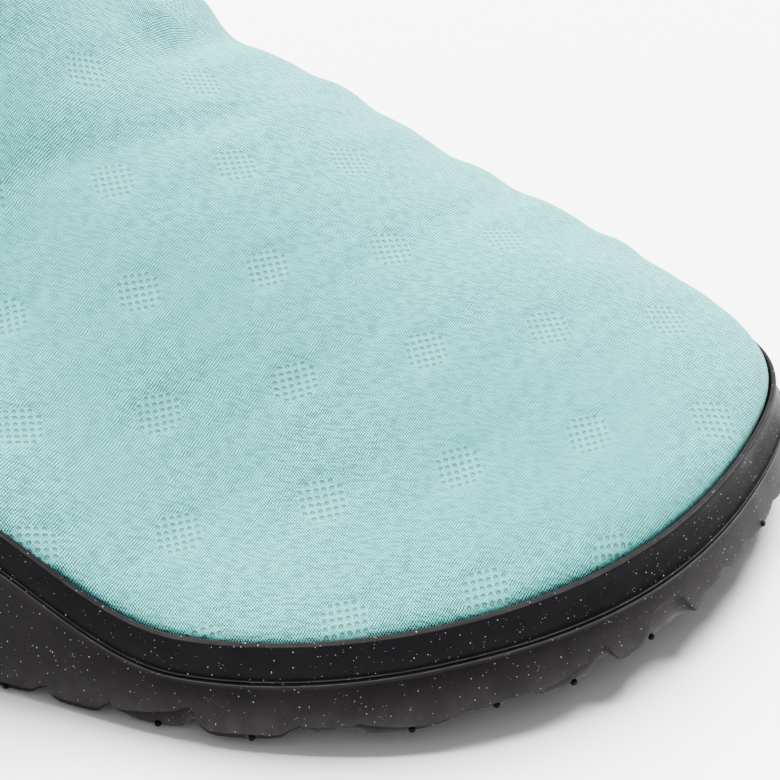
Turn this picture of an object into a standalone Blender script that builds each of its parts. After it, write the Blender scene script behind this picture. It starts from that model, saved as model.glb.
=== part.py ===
"""Right slip-on sneaker: padded upper, smooth side band, lugged outsole and insole.

Sizes are in millimetres. x runs from the heel towards the toe, y towards the inner side of the foot and
z up from the ground. Everything is worked out from the rim, the line where the upper leaves the sole.
"""

import math
from collections import namedtuple

import bmesh
import bpy
import numpy as np

MM = 0.001

# Height of the rim, which sweeps down from the waist to the toes
RIM_LENGTH = 296.0
TOE_RIM = 13.1
WAIST_RIM = 27.0
HEEL_RIM = 30.0
SWEEP_FRONT = 247.0
SWEEP_BACK = 208.0

# How the tread leaves the ground
TOE_SPRING = 5.0
TOE_SPRING_START = 225.0
HEEL_SPRING = 2.5
HEEL_SPRING_START = 22.0
ARCH_RISE = 3.0
ARCH_BACK = 95.0
ARCH_FRONT = 170.0

# The rim seen from above, between its toe and heel ends: outer and inner side of each section
Rim = namedtuple("Rim", "x outer inner")
TOE_END = (296.0, 12.0)
HEEL_END = (0.0, 0.0)
RIM_SECTIONS = (
    Rim(291.4, -15.5, 30.4),
    Rim(282.0, -30.5, 38.3),
    Rim(267.0, -43.2, 45.0),
    Rim(249.5, -50.4, 50.2),
    Rim(226.0, -52.2, 50.6),
    Rim(198.0, -53.6, 49.2),
    Rim(160.0, -49.0, 42.0),
    Rim(120.0, -41.5, 35.5),
    Rim(80.0, -36.5, 34.5),
    Rim(45.0, -34.5, 34.0),
    Rim(14.0, -25.0, 25.0),
)
CURVE_STEPS = 40

# Upper: the ridge along its top, and how full and how bell-shaped each side of a section is
Last = namedtuple("Last", "x ridge_y ridge_z outer_full outer_bell inner_full inner_bell")
LAST_SECTIONS = (
    Last(250.0, 15.0, 34.0, 2.0, 0.80, 2.2, 0.10),
    Last(228.0, 17.0, 40.5, 2.0, 0.85, 2.15, 0.08),
    Last(205.0, 16.0, 47.5, 2.0, 0.85, 2.2, 0.08),
    Last(195.0, 14.0, 54.0, 2.1, 0.75, 2.45, 0.10),
    Last(176.0, 10.0, 73.0, 2.3, 0.45, 2.4, 0.15),
    Last(145.0, 6.0, 98.0, 2.6, 0.20, 2.6, 0.12),
    Last(105.0, 2.0, 109.0, 2.7, 0.10, 2.7, 0.08),
    Last(38.0, 0.0, 111.0, 2.6, 0.00, 2.6, 0.00),
)
TOE_CENTRE = 250.0
TOE_FULL = 2.2
TOE_BELL = 0.5
HEEL_CENTRE = 38.0
UPPER_WALL = 2.6
UPPER_INSET = 0.35
TUCK_INSET = 1.6

# Collar line
Collar = namedtuple("Collar", "x height")
COLLAR_FRONT = 176.0
COLLAR = (
    Collar(176.0, 73.0),
    Collar(150.0, 68.5),
    Collar(120.0, 65.0),
    Collar(85.0, 63.0),
    Collar(50.0, 66.0),
    Collar(20.0, 74.0),
    Collar(0.0, 78.0),
)
COLLAR_INNER_LIFT = 2.5

# Mesh of the upper: lines round the toe, over the vamp, along the collar, round the heel, and rows up each
TOE_LINES = 16
VAMP_LINES = 8
COLLAR_LINES = 12
HEEL_LINES = 10
COLLAR_CROWDING = 1.7
UPPER_ROWS = (0.0, 0.2, 0.34, 0.47, 0.6, 0.73, 0.87, 1.0)

# Side band
BAND_HEIGHT = 5.6
BAND_FLARE = 1.0
TOE_BAND_FLARE = 2.1
TOE_FLARE_START = 275.0
TOE_FLARE_LENGTH = 20.0
BAND_GAP = 0.3
BAND_STATIONS = 60
Band = namedtuple("Band", "flare_share reach share")
BAND_PROFILE = (
    Band(0.0, 0.0, 0.05),
    Band(0.0, 0.3, 0.0),
    Band(0.0, 0.75, 0.06),
    Band(0.15, 0.6, 0.25),
    Band(0.45, 0.3, 0.6),
    Band(1.0, 0.0, 1.0),
    Band(0.0, -1.3, 1.0),
)

# Outsole wall and tray
TRAY_INSET = 1.3
FOREFOOT_FLOOR = 7.0
HEEL_FLOOR = 18.0
RAMP_FRONT = 190.0
RAMP_BACK = 60.0
FLOOR_SPRING_SHARE = 0.9
RIB_REACH = 0.5
RIB_DROP = 0.3
RIB_HEIGHT = 0.8
BELLY_REACH = 2.6
BELLY_SHARE = 0.62
EDGE_REACH = 2.8
TOE_EDGE_REACH = 1.2
TOE_EDGE_START = 255.0
TOE_EDGE_LENGTH = 25.0
SIDE_LEAN = 0.09
BELLY_LEAN = 0.6

# Tread edge: a row for each station of a lug from its front, and which lugs of a cycle are set back
Lug = namedtuple("Lug", "place edge inset foot")
BROAD_LUG = (Lug(0.0, 1.9, 1.2, 1.8), Lug(0.14, 4.0, 0.6, 0.0), Lug(0.88, 1.2, 0.6, 0.0))
SMALL_LUG = (Lug(0.0, 1.9, 1.2, 1.8), Lug(0.24, 2.0, 2.8, 0.0), Lug(0.76, 2.0, 2.8, 0.0))
SIDE_LUGS = 34
LUG_CYCLE = 8
SMALL_LUGS = (4, 6)
LUG_FACE_DROP = 0.15
LUG_FOOT_BATTER = 0.5
LUG_WIDTH = 11.0
LUG_DEPTH = 2.6
SLAB_INSET = 13.0
SLAB_SKIP = 6

# Leaf-shaped lugs of the tread's middle
LEAF_LENGTH = 15.0
LEAF_WIDTH = 8.0
LEAF_TURN = 35.0
LEAF_STEP_X = 15.0
LEAF_STEP_Y = 17.0
LEAF_FIRST_X = 26.0
LEAF_LAST_X = 276.0
LEAF_MARGIN = 21.0
LEAF_POINTS = 8
LEAF_POINTEDNESS = 1.5
LEAF_SINK = 2.0

# Insole
INSOLE_INSET = 4.7
INSOLE_LIFT = 0.3
INSOLE_EDGE = 3.6
INSOLE_HEEL_EDGE = 8.0
INSOLE_BED = 4.0
INSOLE_STATIONS = 28
INSOLE_RIM_WIDTH = 2.0
INSOLE_CUP_WIDTH = 15.0


def smooth(value):
    """Ease from 0 to 1."""
    value = np.clip(value, 0.0, 1.0)
    return value * value * (3.0 - 2.0 * value)


def column(table, name):
    """One named column of a table."""
    return np.array([getattr(row, name) for row in table], dtype=float)


def along(table, name, x):
    """A column of a table at x, by a cubic that doesn't overshoot its rows."""
    order = np.argsort(column(table, "x"))
    place = column(table, "x")[order]
    value = column(table, name)[order]
    step = np.diff(place)
    rise = np.diff(value) / step
    before = rise[:-1]
    after = rise[1:]
    slope = np.concatenate(([rise[0]], np.zeros(len(rise) - 1), [rise[-1]]))
    same = before * after > 0.0
    slope[1:-1][same] = 2.0 * before[same] * after[same] / (before[same] + after[same])
    left = np.clip(np.searchsorted(place, x) - 1, 0, len(step) - 1)
    t = np.clip((x - place[left]) / step[left], 0.0, 1.0)
    start = value[left] * (1.0 + 2.0 * t) + slope[left] * step[left] * t
    end = value[left + 1] * (3.0 - 2.0 * t) - slope[left + 1] * step[left] * (1.0 - t)
    return start * (1.0 - t) ** 2 + end * t ** 2


def toe_spring(x):
    """Lift of the toe over the ground."""
    run = RIM_LENGTH - TOE_SPRING_START
    return TOE_SPRING * np.maximum((x - TOE_SPRING_START) / run, 0.0) ** 2


def ground(x):
    """Height of the tread over the ground: toe spring, raised arch and bevelled heel."""
    arch = np.clip((x - ARCH_BACK) / (ARCH_FRONT - ARCH_BACK), 0.0, 1.0)
    heel = np.clip((HEEL_SPRING_START - x) / HEEL_SPRING_START, 0.0, 1.0)
    return toe_spring(x) + ARCH_RISE * np.sin(math.pi * arch) ** 2 + HEEL_SPRING * heel ** 2


def rim_height(x):
    """Height of the rim."""
    sweep = smooth((SWEEP_FRONT - x) / (SWEEP_FRONT - SWEEP_BACK))
    climb = smooth((SWEEP_BACK - x) / SWEEP_BACK)
    return TOE_RIM + (WAIST_RIM - TOE_RIM) * sweep + (HEEL_RIM - WAIST_RIM) * climb + toe_spring(x)


def bead_height(x):
    """Height of the joint between the side band and the outsole."""
    return rim_height(x) - BAND_HEIGHT


def floor_height(x):
    """Height of the outsole's tray."""
    ramp = smooth((RAMP_FRONT - x) / (RAMP_FRONT - RAMP_BACK))
    return FOREFOOT_FLOOR + (HEEL_FLOOR - FOREFOOT_FLOOR) * ramp + FLOOR_SPRING_SHARE * toe_spring(x)


def band_flare(x):
    """How far the band's foot stands out from the rim."""
    toe = smooth((x - TOE_FLARE_START) / TOE_FLARE_LENGTH)
    return BAND_FLARE + (TOE_BAND_FLARE - BAND_FLARE) * toe


def wall_lean(x):
    """Extra reach of the tread where the wall is tall and round the toe."""
    toe = TOE_EDGE_REACH * smooth((x - TOE_EDGE_START) / TOE_EDGE_LENGTH)
    return SIDE_LEAN * (rim_height(x) - toe_spring(x) - TOE_RIM) + toe


def rim_curve():
    """Dense closed curve of the rim in plan, from the toe along the outer side, and its outward normals."""
    outer = [(row.x, row.outer) for row in RIM_SECTIONS]
    inner = [(row.x, row.inner) for row in reversed(RIM_SECTIONS)]
    points = np.array([TOE_END] + outer + [HEEL_END] + inner)
    count = len(points)
    ahead = np.roll(points, -1, axis=0) - points
    length = np.hypot(ahead[:, 0], ahead[:, 1])
    matrix = np.zeros((count, count))
    target = np.zeros((count, 2))
    for i in range(count):
        matrix[i, i - 1] = 1.0 / length[i - 1]
        matrix[i, i] = 2.0 / length[i - 1] + 2.0 / length[i]
        matrix[i, (i + 1) % count] = 1.0 / length[i]
        target[i] = 3.0 * (ahead[i - 1] / length[i - 1] ** 2 + ahead[i] / length[i] ** 2)
    slope = np.linalg.solve(matrix, target)
    curve = []
    for i in range(count):
        after = (i + 1) % count
        for step in range(CURVE_STEPS):
            t = step / CURVE_STEPS
            start = points[i] * (1.0 + 2.0 * t) + slope[i] * length[i] * t
            end = points[after] * (3.0 - 2.0 * t) - slope[after] * length[i] * (1.0 - t)
            curve.append(start * (1.0 - t) ** 2 + end * t ** 2)
    curve = np.array(curve)
    tangent = np.roll(curve, -1, axis=0) - np.roll(curve, 1, axis=0)
    normal = np.column_stack((-tangent[:, 1], tangent[:, 0]))
    return curve, normal / np.linalg.norm(normal, axis=1)[:, None]


CURVE, OUTWARD = rim_curve()
HEEL_INDEX = CURVE_STEPS * (len(RIM_SECTIONS) + 1)


def half_rim(shares, inner):
    """Points and normals at shares of the way from the toe to the heel, along one side."""
    turn = np.arange(HEEL_INDEX + 1)
    if inner:
        turn = -turn
    points = CURVE[turn]
    normals = OUTWARD[turn]
    gone = np.concatenate(([0.0], np.cumsum(np.linalg.norm(np.diff(points, axis=0), axis=1))))
    at = np.asarray(shares) * gone[-1]
    return np.column_stack([np.interp(at, gone, part) for part in (*points.T, *normals.T)])


def rim_ring(shares):
    """Stations once round the rim at the same shares of both sides: x, y and the outward normal."""
    inside = shares[1:-1]
    return np.vstack((half_rim(shares, False), half_rim(inside[::-1], True)))


def ring_row(ring, reach, height):
    """A row of points that stand out from the rim by reach, at a height."""
    plan = ring[:, :2] + ring[:, 2:] * np.broadcast_to(reach, len(ring))[:, None]
    return np.column_stack((plan, np.broadcast_to(height, len(ring))))


def ladder(first, count):
    """Faces across a ring, from each station to the one opposite."""
    faces = []
    for i in range(count // 2):
        left = (first + i, first + i + 1)
        right = (first + (count - i - 1) % count, first + (count - i) % count)
        faces.append(tuple(dict.fromkeys(left + right)))
    return faces


def belts(rows, count, closed):
    """Faces between each row of a ring body and the next."""
    faces = []
    for row in range(rows if closed else rows - 1):
        low = row * count
        high = (row + 1) % rows * count
        for i in range(count):
            after = (i + 1) % count
            faces.append((low + i, low + after, high + after, high + i))
    return faces


def material(name, colour, roughness):
    """Plain shader for one piece."""
    made = bpy.data.materials.new(name)
    made.use_nodes = True
    shader = made.node_tree.nodes["Principled BSDF"]
    shader.inputs["Base Color"].default_value = (*colour, 1.0)
    shader.inputs["Roughness"].default_value = roughness
    return made


def mesh_object(name, points, faces, collection, closed=True):
    """Object from points in millimetres; a closed body gets its faces turned outwards."""
    mesh = bpy.data.meshes.new(name)
    mesh.from_pydata([tuple(point) for point in np.asarray(points) * MM], [], faces)
    if closed:
        shape = bmesh.new()
        shape.from_mesh(mesh)
        bmesh.ops.recalc_face_normals(shape, faces=shape.faces)
        shape.to_mesh(mesh)
        shape.free()
    made = bpy.data.objects.new(name, mesh)
    collection.objects.link(made)
    return made


def side_band(collection):
    """Smooth rubber band round the fabric, down to the joint with the outsole."""
    ring = rim_ring(np.linspace(0.0, 1.0, BAND_STATIONS + 1))
    x = ring[:, 0]
    rows = []
    for part in BAND_PROFILE:
        drop = part.share * (BAND_HEIGHT - BAND_GAP)
        reach = part.reach + part.flare_share * band_flare(x)
        rows.append(ring_row(ring, reach, rim_height(x) - drop))
    faces = belts(len(rows), len(ring), True)
    return mesh_object("side_band", np.vstack(rows), faces, collection)


def tread_edge():
    """Shares of each side where the lugs' stations lie, and their lug rows in the order of the ring."""
    shares = []
    lugs = []
    for lug in range(SIDE_LUGS):
        shape = SMALL_LUG if lug % LUG_CYCLE in SMALL_LUGS else BROAD_LUG
        for row in shape:
            shares.append((lug + row.place) / SIDE_LUGS)
            lugs.append(row)
    shares.append(1.0)
    lugs.append(BROAD_LUG[0])
    return np.array(shares), lugs + lugs[-2:0:-1]


def outsole(collection, helpers):
    """Rubber tread: tray, wall with a rib, lugged edge and leaf-shaped lugs underneath."""
    shares, lugs = tread_edge()
    ring = rim_ring(shares)
    count = len(ring)
    x = ring[:, 0]
    bead = bead_height(x)
    low = ground(x)
    flare = band_flare(x)
    lean = wall_lean(x)
    edge = EDGE_REACH + lean
    face = edge - column(lugs, "inset")
    foot = low + column(lugs, "foot")
    rows = [
        ring_row(ring, -TRAY_INSET, floor_height(x)),
        ring_row(ring, -TRAY_INSET, bead),
        ring_row(ring, flare, bead),
        ring_row(ring, flare + RIB_REACH, bead - RIB_DROP),
        ring_row(ring, flare + RIB_REACH, bead - RIB_DROP - RIB_HEIGHT),
        ring_row(ring, BELLY_REACH + BELLY_LEAN * lean, low + BELLY_SHARE * (bead - low)),
        ring_row(ring, edge, low + column(lugs, "edge")),
        ring_row(ring, face, low + column(lugs, "edge") - LUG_FACE_DROP),
        ring_row(ring, face - LUG_FOOT_BATTER, foot),
        ring_row(ring, EDGE_REACH - LUG_WIDTH, foot),
        ring_row(ring, EDGE_REACH - LUG_WIDTH - LUG_FOOT_BATTER, low + LUG_DEPTH),
    ]
    faces = belts(len(rows), count, False) + ladder(0, count)
    slab = ring_row(ring[::SLAB_SKIP], -SLAB_INSET, low[::SLAB_SKIP] + LUG_DEPTH)
    rows.append(slab)
    last = count * (len(rows) - 2)
    first = count * (len(rows) - 1)
    for i in range(len(slab)):
        fine = [last + (i * SLAB_SKIP + step) % count for step in range(SLAB_SKIP + 1)]
        faces.append(tuple(fine) + (first + (i + 1) % len(slab), first + i))
    faces += ladder(first, len(slab))
    made = mesh_object("outsole", np.vstack(rows), faces, collection)
    union = made.modifiers.new("leaf lugs", "BOOLEAN")
    union.operation = "UNION"
    union.solver = "EXACT"
    union.object = leaf_lugs(helpers)
    return made


def leaf_lugs(helpers):
    """Leaf-shaped lugs of the tread's middle, staggered and turned by turns to either side."""
    points = []
    faces = []
    turn = np.linspace(0.0, 2.0 * math.pi, LEAF_POINTS, endpoint=False)
    across = np.sign(np.sin(turn)) * np.abs(np.sin(turn)) ** LEAF_POINTEDNESS
    leaf = np.column_stack((np.cos(turn) * LEAF_LENGTH / 2.0, across * LEAF_WIDTH / 2.0))
    for number, x in enumerate(np.arange(LEAF_FIRST_X, LEAF_LAST_X, LEAF_STEP_X)):
        low = along(RIM_SECTIONS, "outer", x) + LEAF_MARGIN
        high = along(RIM_SECTIONS, "inner", x) - LEAF_MARGIN
        steps = int((high - low) // LEAF_STEP_Y)
        for step in range(steps + 1):
            y = (low + high) / 2.0 + (step - steps / 2.0) * LEAF_STEP_Y
            angle = math.radians(LEAF_TURN if (number + step) % 2 else -LEAF_TURN)
            spin = np.array(((math.cos(angle), math.sin(angle)), (-math.sin(angle), math.cos(angle))))
            plan = leaf @ spin + (x, y)
            bottom = ground(x)
            first = len(points)
            top = bottom + LUG_DEPTH + LEAF_SINK
            points += [(*place, bottom) for place in plan] + [(*place, top) for place in plan]
            faces.append(tuple(range(first, first + LEAF_POINTS)))
            faces.append(tuple(range(first + LEAF_POINTS, first + 2 * LEAF_POINTS)))
            for i in range(LEAF_POINTS):
                after = (i + 1) % LEAF_POINTS
                faces.append((first + i, first + after, first + LEAF_POINTS + after, first + LEAF_POINTS + i))
    made = mesh_object("leaf_lugs", points, faces, helpers)
    made.hide_render = True
    made.display_type = "WIRE"
    return made


def insole(collection):
    """Footbed with a raised edge, higher round the heel."""
    ring = rim_ring(np.linspace(0.0, 1.0, INSOLE_STATIONS + 1))
    x = ring[:, 0]
    base = floor_height(x) + INSOLE_LIFT
    cup = smooth((RAMP_FRONT - x) / (RAMP_FRONT - RAMP_BACK))
    edge = base + INSOLE_EDGE + (INSOLE_HEEL_EDGE - INSOLE_EDGE) * cup
    rows = [
        ring_row(ring, -INSOLE_INSET, base),
        ring_row(ring, -INSOLE_INSET, edge),
        ring_row(ring, -INSOLE_INSET - INSOLE_RIM_WIDTH, edge),
        ring_row(ring, -INSOLE_INSET - INSOLE_CUP_WIDTH, base + INSOLE_BED),
    ]
    count = len(ring)
    faces = belts(len(rows), count, False) + ladder(0, count) + ladder(count * (len(rows) - 1), count)
    return mesh_object("insole", np.vstack(rows), faces, collection)


def rim_point(centre, bearing, inset):
    """Plan point where a line from a centre meets the rim moved in by an inset."""
    away = CURVE - OUTWARD * inset - centre
    angle = np.arctan2(away[:, 1], away[:, 0])
    order = np.argsort(angle)
    reach = np.interp(bearing, angle[order], np.hypot(away[order, 0], away[order, 1]), period=2.0 * math.pi)
    return np.asarray(centre) + reach * np.array((math.cos(bearing), math.sin(bearing)))


def side_shape(x, bearing):
    """Fullness and bell share of a section, blended from side to side round the toe."""
    side = "inner" if math.sin(bearing) > 0.0 else "outer"
    blend = max(math.cos(bearing), 0.0) ** 1.5
    full = along(LAST_SECTIONS, side + "_full", x) * (1.0 - blend) + TOE_FULL * blend
    bell = along(LAST_SECTIONS, side + "_bell", x) * (1.0 - blend) + TOE_BELL * blend
    return full, bell


def collar_height(x, bearing):
    """Height of the collar line beside x."""
    lift = COLLAR_INNER_LIFT * max(math.sin(bearing), 0.0)
    return along(COLLAR, "height", x) + lift * math.sin(math.pi * np.clip(x / COLLAR_FRONT, 0.0, 1.0))


def upper_line(x, bearing):
    """Points up one line of the upper, from its tucked edge to the ridge or the collar."""
    centre = np.array((x, along(LAST_SECTIONS, "ridge_y", x)))
    ridge = along(LAST_SECTIONS, "ridge_z", x)
    foot = rim_point(centre, bearing, UPPER_INSET)
    tuck = rim_point(centre, bearing, TUCK_INSET)
    beside = rim_point(centre, bearing, 0.0)[0]
    base = rim_height(beside)
    full, bell = side_shape(x, bearing)
    turn = np.linspace(0.0, math.pi / 2.0, 400)
    inward = np.cos(turn).clip(0.0, 1.0) ** (2.0 / full)
    rise = (1.0 - bell) * np.sin(turn) ** (2.0 / full) + bell * 0.5 * (1.0 + np.cos(math.pi * inward))
    top = math.pi / 2.0
    if x < COLLAR_FRONT:
        top = np.interp((collar_height(beside, bearing) - base) / (ridge - base), rise, turn)
    at = np.array(UPPER_ROWS) * top
    share = np.interp(at, turn, inward)
    plan = centre + share[:, None] * (foot - centre)
    heights = base + (ridge - base) * np.interp(at, turn, rise)
    edge = [(*tuck, floor_height(beside) + BAND_GAP), (*tuck, bead_height(beside) + BAND_GAP)]
    return np.vstack((edge, np.column_stack((plan, heights))))


def upper(collection):
    """Padded shell over the foot, open at the collar and underneath."""
    quarter = math.pi / 2.0
    lines = [(TOE_CENTRE, bearing) for bearing in np.linspace(-quarter, quarter, TOE_LINES + 1)]
    vamp = np.linspace(TOE_CENTRE, COLLAR_FRONT, VAMP_LINES + 1)[1:]
    back = np.linspace(0.0, 1.0, COLLAR_LINES + 1)[1:] ** COLLAR_CROWDING
    sides = np.concatenate((vamp, COLLAR_FRONT - (COLLAR_FRONT - HEEL_CENTRE) * back))
    lines += [(x, quarter) for x in sides]
    lines += [(HEEL_CENTRE, bearing) for bearing in np.linspace(quarter, 3.0 * quarter, HEEL_LINES + 1)[1:-1]]
    lines += [(x, -quarter) for x in sides[::-1]]
    points = []
    ridge = {}
    numbers = []
    for x, bearing in lines:
        line = upper_line(x, bearing)
        own = list(range(len(points), len(points) + len(line)))
        if x in ridge:
            own[-1] = ridge[x]
            line = line[:-1]
        elif x >= COLLAR_FRONT:
            ridge[x] = own[-1]
        points += list(line)
        numbers.append(own)
    faces = []
    for line, after in zip(numbers, numbers[1:] + numbers[:1]):
        for row in range(len(line) - 1):
            faces.append(tuple(dict.fromkeys((line[row], after[row], after[row + 1], line[row + 1]))))
    made = mesh_object("upper", points, faces, collection, closed=False)
    wall = made.modifiers.new("wall", "SOLIDIFY")
    wall.thickness = UPPER_WALL * MM
    wall.offset = -1.0
    wall.use_even_offset = True
    wall.use_quality_normals = True
    return made


def main():
    """Build the pieces about the middle of the shoe's box and hang them on one empty."""
    for startup in list(bpy.data.objects):
        bpy.data.objects.remove(startup)
    collection = bpy.data.collections.new("slip_on_sneaker")
    helpers = bpy.data.collections.new("helpers")
    bpy.context.scene.collection.children.link(collection)
    bpy.context.scene.collection.children.link(helpers)
    root = bpy.data.objects.new("sneaker", None)
    collection.objects.link(root)
    rubber = material("black_rubber", (0.02, 0.02, 0.021), 0.35)
    pieces = (
        (outsole(collection, helpers), rubber),
        (side_band(collection), rubber),
        (upper(collection), material("mint_fabric", (0.62, 0.79, 0.75), 0.9)),
        (insole(collection), material("grey_foam", (0.35, 0.38, 0.38), 0.9)),
    )
    sole = np.array([vertex.co for vertex in pieces[0][0].data.vertices])
    middle = (sole.min(axis=0) + sole.max(axis=0)) / 2.0
    for helper in helpers.objects:
        helper.location = (-middle[0], -middle[1], 0.0)
    for piece, look in pieces:
        piece.parent = root
        piece.location = (-middle[0], -middle[1], 0.0)
        piece.data.materials.append(look)
        piece.data.shade_smooth()
        piece.data.set_sharp_from_angle(angle=math.radians(35.0))


main()
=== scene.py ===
"""Dressed right slip-on sneaker: padded perforated upper, side band, lugged outsole, insole and lining.

Sizes are in millimetres. x runs from the heel towards the toe, y towards the inner side of the foot and
z up from the ground. The tables and rules of the rim, the last and the collar are those of the solids.
"""

import itertools
import math
from collections import namedtuple
from functools import partialmethod

import bpy
import numpy as np
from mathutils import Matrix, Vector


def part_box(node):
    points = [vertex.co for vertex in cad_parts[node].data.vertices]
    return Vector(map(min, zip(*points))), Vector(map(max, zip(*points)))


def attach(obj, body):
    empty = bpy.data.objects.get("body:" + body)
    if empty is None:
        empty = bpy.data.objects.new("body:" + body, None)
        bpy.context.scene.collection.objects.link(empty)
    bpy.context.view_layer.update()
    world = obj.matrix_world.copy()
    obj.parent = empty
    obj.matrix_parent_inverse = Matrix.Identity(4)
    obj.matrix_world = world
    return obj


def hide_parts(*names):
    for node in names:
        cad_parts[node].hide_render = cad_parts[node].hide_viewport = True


MM = 0.001

# Steepest bend between two faces that is shaded smooth, in degrees
SHARP_ANGLE = 40.0
TREAD_SHARP_ANGLE = 50.0
SOFT_SHARP_ANGLE = 60.0

# Height of the rim, which sweeps down from the waist to the toes
RIM_LENGTH = 296.0
TOE_RIM = 13.1
WAIST_RIM = 27.0
HEEL_RIM = 30.0
SWEEP_FRONT = 247.0
SWEEP_BACK = 208.0

# How the tread leaves the ground
TOE_SPRING = 5.0
TOE_SPRING_START = 225.0
HEEL_SPRING = 2.5
HEEL_SPRING_START = 22.0
ARCH_RISE = 3.0
ARCH_BACK = 95.0
ARCH_FRONT = 170.0

# The rim seen from above, between its toe and heel ends: outer and inner side of each section
Rim = namedtuple("Rim", "x outer inner")
TOE_END = (296.0, 12.0)
HEEL_END = (0.0, 0.0)
RIM_SECTIONS = (
    Rim(291.4, -15.5, 30.4),
    Rim(282.0, -30.5, 38.3),
    Rim(267.0, -43.2, 45.0),
    Rim(249.5, -50.4, 50.2),
    Rim(226.0, -52.2, 50.6),
    Rim(198.0, -53.6, 49.2),
    Rim(160.0, -49.0, 42.0),
    Rim(120.0, -41.5, 35.5),
    Rim(80.0, -36.5, 34.5),
    Rim(45.0, -34.5, 34.0),
    Rim(14.0, -25.0, 25.0),
)
CURVE_STEPS = 40

# Upper: the ridge along its top, and how full and how bell-shaped each side of a section is
Last = namedtuple("Last", "x ridge_y ridge_z outer_full outer_bell inner_full inner_bell")
LAST_SECTIONS = (
    Last(250.0, 15.0, 34.0, 2.0, 0.80, 2.2, 0.10),
    Last(228.0, 17.0, 40.5, 2.0, 0.85, 2.15, 0.08),
    Last(205.0, 16.0, 47.5, 2.0, 0.85, 2.2, 0.08),
    Last(195.0, 14.0, 54.0, 2.1, 0.75, 2.45, 0.10),
    Last(176.0, 10.0, 73.0, 2.3, 0.45, 2.4, 0.15),
    Last(145.0, 6.0, 98.0, 2.6, 0.20, 2.6, 0.12),
    Last(105.0, 2.0, 109.0, 2.7, 0.10, 2.7, 0.08),
    Last(38.0, 0.0, 111.0, 2.6, 0.00, 2.6, 0.00),
)
TOE_CENTRE = 250.0
TOE_FULL = 2.2
TOE_BELL = 0.5
TOE_BLEND = 1.5
HEEL_CENTRE = 38.0
UPPER_WALL = 2.6
UPPER_INSET = 0.35
TUCK_INSET = 1.6

# Collar line
Collar = namedtuple("Collar", "x height")
COLLAR_FRONT = 176.0
COLLAR = (
    Collar(176.0, 73.0),
    Collar(150.0, 68.5),
    Collar(120.0, 65.0),
    Collar(85.0, 63.0),
    Collar(50.0, 66.0),
    Collar(20.0, 74.0),
    Collar(0.0, 78.0),
)
COLLAR_INNER_LIFT = 2.5

# Mesh of the upper: lines round it, rows up each and steps of its curves
TOE_LINES = 160
VAMP_LINES = 112
COLLAR_LINES = 64
HEEL_LINES = 48
COLLAR_CROWDING = 1.7
UPPER_ROWS = 120
SECTION_STEPS = 400
RIDGE_STEPS = 100
LINING_ROWS = (0, 1, 2, 20, 37, 54, 71, 88, 105, 121)
HEM_ROWS = 5

# Lattice of the perforated spots on the upper
SPOT_PITCH = 17.2
SPOT_X = 199.3
SPOT_Y = 8.2
ALONG_STEP = 11.6
ACROSS_STEP = 11.9
TOE_SPREAD = 0.0037
UNROLL_FRONT = 196.0
UNROLL_RUN = 20.0
TOE_UNROLL_START = 30.0
TOE_UNROLL_RUN = 45.0
OUTER_BEND = 0.27
INNER_BEND = 0.55
INNER_BEND_LIMIT = 4.0
BEND_BACK = 150.0
BEND_RUN = 40.0
HEEL_SHIFT_RUN = 76.0
HEEL_TURN_RADIUS = 34.96
Pull = namedtuple("Pull", "x across length span along sideways")
PULLS = (
    Pull(242.0, -3.2, 14.0, 1.6, 0.16, -0.05),
    Pull(264.0, 0.0, 12.0, 1.5, -0.03, 0.13),
    Pull(290.0, -1.8, 8.0, 1.5, 0.14, 0.0),
)

# Padding: dimples at the spots, folds through them, far waves, edges and creases
NEAR_SPOTS = 2
DIMPLE_DEPTH = 0.12
DIMPLE_FLAT = 2.8
DIMPLE_EDGE = 1.4
FOLD_DEPTH = 0.27
FOLD_WIDTH = 2.6
FOLD_REACH = 13.0
FOLD_TILT = 0.34
FAR_LIFT = 0.12
FAR_WAVE = 0.3
FAR_PHASE = 0.47
FAR_END = 5.9
FAR_START = 0.4
FAR_RUN = 1.6
EDGE_SINK = 0.55
TOE_SINK = 0.35
TOE_SINK_START = 245.0
TOE_SINK_RUN = 20.0
RIM_PUFF = 0.6
RIM_PUFF_RISE = 7.0
RIM_PUFF_RUN = 18.0
RIM_FADE = 6.0
COLLAR_FADE = 10.0
CREASE_END = 0.25
Crease = namedtuple("Crease", "start_along start_across end_along end_across width depth")
CREASES = (
    Crease(0.1, -1.75, 2.05, 1.5, 3.0, 0.65),
    Crease(-1.2, -2.3, 1.1, 1.1, 5.0, -0.3),
    Crease(0.62, 0.7, 0.57, 3.4, 2.6, 0.75),
    Crease(-0.1, 1.0, -0.15, 3.6, 5.0, -1.9),
)

# Threads of the fabric, the dark dashes of its crepe grain and the holes in its spots
WEAVE_SPAN = 100.0
TWILL_PITCH = 0.312
TWILL_SLANT = 0.12
CROSS_SLANT = 0.49
THREAD_EDGE = 0.72
THREAD_HEIGHT = 0.05
WOBBLE = 0.4
WOBBLE_CELLS = 0.9
DASH_SLOPE = 3.0
DASH_ALONG = 0.21
DASH_ACROSS = 0.76
DASH_DETAIL = 3.0
DASH_RANGE = (0.4, 0.64)
DASH_SINK = 0.8
HOLE_PITCH = 0.95
HOLE_RANGE = (0.24, 0.33)
# The hole's own tint is painted shade; the smaller range and the shift below place painted light on the
# lit side of its floor
HOLE_LIGHT_RANGE = (0.06, 0.2)
HOLE_SINK = 2.0
HOLE_LIGHT_SHIFT = 0.08
SPOT_HALF = 3.0
SPOT_CORNER = 4.5
THREAD_SHADE = (0.015, 0.011, 0.011)
THREAD_TONE = (0.095, 0.65, 0.61)
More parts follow.
